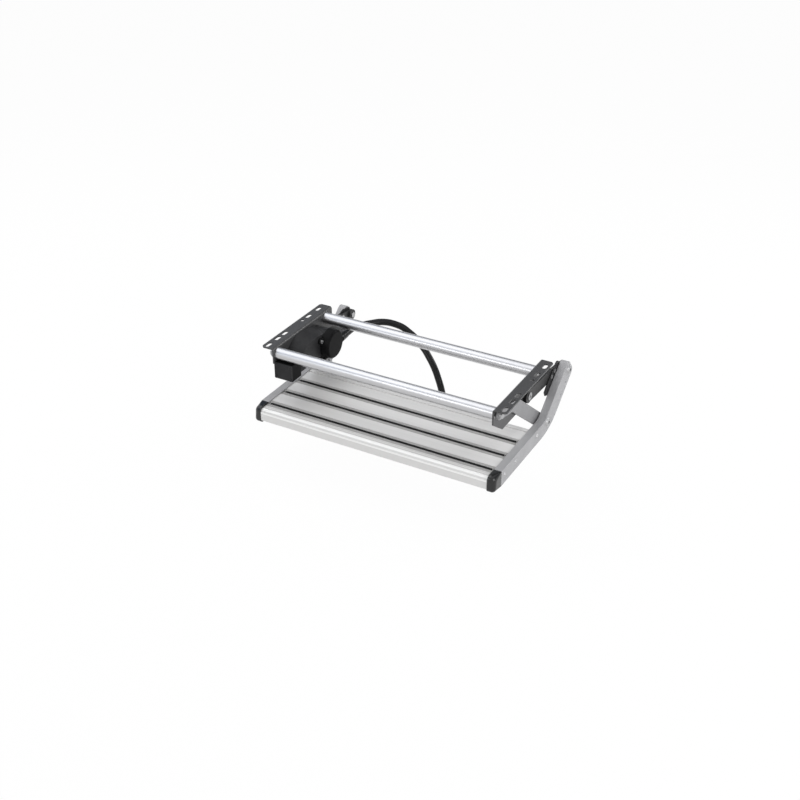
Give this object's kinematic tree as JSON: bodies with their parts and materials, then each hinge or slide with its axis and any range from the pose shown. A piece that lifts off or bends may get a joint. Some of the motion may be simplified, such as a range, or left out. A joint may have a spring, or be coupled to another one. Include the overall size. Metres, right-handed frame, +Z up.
{
  "type": "fold-out entry step",
  "caption": "Electric fold-out entry step: a ribbed aluminium tread on bent side arms, swung on links from two slotted brackets by a gear motor; stowed pose.",
  "frame": {"origin": "midpoint between the round holes of the two bracket flanges, on the mounting plane", "axes": "+X to the right seen from outside the vehicle, +Y towards the vehicle, +Z up out of the mounting plane"},
  "size_m": [0.558, 0.3727, 0.2503],
  "materials": {
    "charcoal": "powder coat, fine texture",
    "bright_tube": "polished bright steel tube",
    "plain_steel": "turned steel",
    "zinc": "zinc plated",
    "drive_black": "moulded plastic, satin",
    "bronze": "sintered bronze",
    "board": "circuit board",
    "cable_black": "smooth cable sheath",
    "light_grey": "satin paint",
    "link_black": "powder coat",
    "anodised": "anodised extrusion, satin",
    "strip_rubber": "ribbed rubber strip",
    "arm_grey": "satin grey paint",
    "cap_black": "moulded plastic, glossy"
  },
  "bodies": {
    "frame": {"left_bracket": "charcoal", "right_bracket": "charcoal", "front_tube": "bright_tube", "rear_tube": "bright_tube", "tube_plugs": "plain_steel", "rear_tube_screws": "zinc", "front_pivot_bolts": "zinc", "front_pivot_spacers": "zinc", "web_rivets": "zinc", "right_rear_pivot_bolt": "zinc", "right_rear_spacer": "zinc", "drive_housing": "drive_black", "drive_cover": "drive_black", "cover_screws": "zinc", "ring_gear": "plain_steel", "output_bush": "bronze", "control_box": "drive_black", "control_box_lid": "drive_black", "lid_screws": "drive_black", "control_board": "board", "cable_gland": "cable_black", "power_cable": "cable_black", "cable_connector": "drive_black"},
    "armature": {"motor_armature": "plain_steel"},
    "planet_a": {"planet_gear_a": "bronze"},
    "planet_b": {"planet_gear_b": "bronze"},
    "planet_c": {"planet_gear_c": "bronze"},
    "left_rear": {"left_rear_link": "link_black", "planet_carrier": "plain_steel", "left_stop_plate": "link_black", "left_stop_rivets": "zinc", "left_eye_bolt": "zinc"},
    "right_rear": {"right_rear_link": "link_black", "right_rear_bush": "bronze", "right_stop_plate": "link_black", "right_stop_rivets": "zinc", "right_eye_bolt": "zinc"},
    "left_front": {"left_front_link": "light_grey", "left_front_bushes": "bronze"},
    "right_front": {"right_front_link": "light_grey", "right_front_bushes": "bronze"},
    "step": {"tread_profile": "anodised", "front_strip": "strip_rubber", "middle_strip": "strip_rubber", "rear_strip": "strip_rubber", "left_arm": "arm_grey", "right_arm": "arm_grey", "left_nose_cap": "cap_black", "right_nose_cap": "cap_black", "tread_screws": "zinc", "step_pivot_bolts": "zinc", "step_pivot_sleeves": "zinc", "arm_pivot_bolts": "zinc", "arm_pivot_sleeves": "zinc"}
  },
  "joints": [
    {"name": "step_fold", "type": "hinge", "parent": "frame", "child": "left_front", "pos_m": [0, -0.123, -0.0165], "axis": [1, 0, 0], "range_deg": [-80.45, 0]},
    {"name": "right_front_pivot", "type": "hinge", "parent": "frame", "child": "right_front", "pos_m": [0, -0.123, -0.0165], "axis": [1, 0, 0], "range_deg": [-80.45, 0]},
    {"name": "step_level", "type": "hinge", "parent": "left_front", "child": "step", "pos_m": [0, 0.072, -0.131], "axis": [1, 0, 0], "range_deg": [0, 80.46]},
    {"name": "left_rear_drive", "type": "hinge", "parent": "frame", "child": "left_rear", "pos_m": [0, 0.014, -0.046], "axis": [1, 0, 0], "range_deg": [-132.67, 0]},
    {"name": "right_rear_pivot", "type": "hinge", "parent": "frame", "child": "right_rear", "pos_m": [0, 0.014, -0.046], "axis": [1, 0, 0], "range_deg": [-132.67, 0]},
    {"name": "armature_spin", "type": "hinge", "parent": "frame", "child": "armature", "pos_m": [0, 0.014, -0.046], "axis": [1, 0, 0], "range_deg": [-530.66, 0]},
    {"name": "planet_a_spin", "type": "hinge", "parent": "left_rear", "child": "planet_a", "pos_m": [0, 0.029, -0.046], "axis": [1, 0, 0], "range_deg": [0, 398]},
    {"name": "planet_b_spin", "type": "hinge", "parent": "left_rear", "child": "planet_b", "pos_m": [0, 0.0065, -0.03301], "axis": [1, 0, 0], "range_deg": [0, 398]},
    {"name": "planet_c_spin", "type": "hinge", "parent": "left_rear", "child": "planet_c", "pos_m": [0, 0.0065, -0.05899], "axis": [1, 0, 0], "range_deg": [0, 398]}
  ],
  "couplings": [
    {"joint": "right_front_pivot", "follows": "step_fold", "ratio": 1},
    {"joint": "step_level", "follows": "step_fold", "ratio": -1},
    {"joint": "left_rear_drive", "follows": "step_fold", "ratio": 1.6489},
    {"joint": "right_rear_pivot", "follows": "step_fold", "ratio": 1.6489},
    {"joint": "armature_spin", "follows": "step_fold", "ratio": 6.5957},
    {"joint": "planet_a_spin", "follows": "step_fold", "ratio": -4.9468},
    {"joint": "planet_b_spin", "follows": "step_fold", "ratio": -4.9468},
    {"joint": "planet_c_spin", "follows": "step_fold", "ratio": -4.9468}
  ]
}
